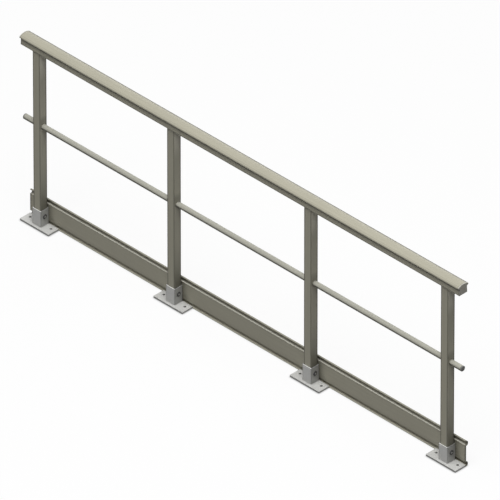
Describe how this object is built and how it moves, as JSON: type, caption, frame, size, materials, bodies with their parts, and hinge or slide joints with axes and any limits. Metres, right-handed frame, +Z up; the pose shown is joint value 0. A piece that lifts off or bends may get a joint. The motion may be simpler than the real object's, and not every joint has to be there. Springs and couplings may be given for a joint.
{
  "type": "aluminium guard rail",
  "caption": "Floor-mounted guard rail in bays: crowned top rail, round mid rail through rectangular posts, channelled toe board and socketed base plates.",
  "frame": {"origin": "underside of the first base plate, on the axis of the first post", "axes": "+X along the rail towards the last post, +Y from the walkway towards the toe board and the drop, +Z up"},
  "size_m": [3.01, 0.0875, 1.1],
  "materials": {
    "rail_metal": "satin anodised",
    "rail_cap": "matt",
    "tube_metal": "satin anodised",
    "tube_plug": "matt",
    "board_metal": "satin anodised",
    "post_metal": "satin anodised",
    "shoe_metal": "plain mill finish"
  },
  "bodies": {
    "root": {"top_rail": "rail_metal", "rail_end_cap_left": "rail_cap", "rail_end_cap_right": "rail_cap", "mid_rail": "tube_metal", "mid_rail_plug_left": "tube_plug", "mid_rail_plug_right": "tube_plug", "toe_board": "board_metal", "post_1": "post_metal", "post_2": "post_metal", "post_3": "post_metal", "post_4": "post_metal", "base_plate_1": "shoe_metal", "base_plate_2": "shoe_metal", "base_plate_3": "shoe_metal", "base_plate_4": "shoe_metal", "post_socket_1": "shoe_metal", "post_socket_2": "shoe_metal", "post_socket_3": "shoe_metal", "post_socket_4": "shoe_metal"}
  },
  "joints": []
}
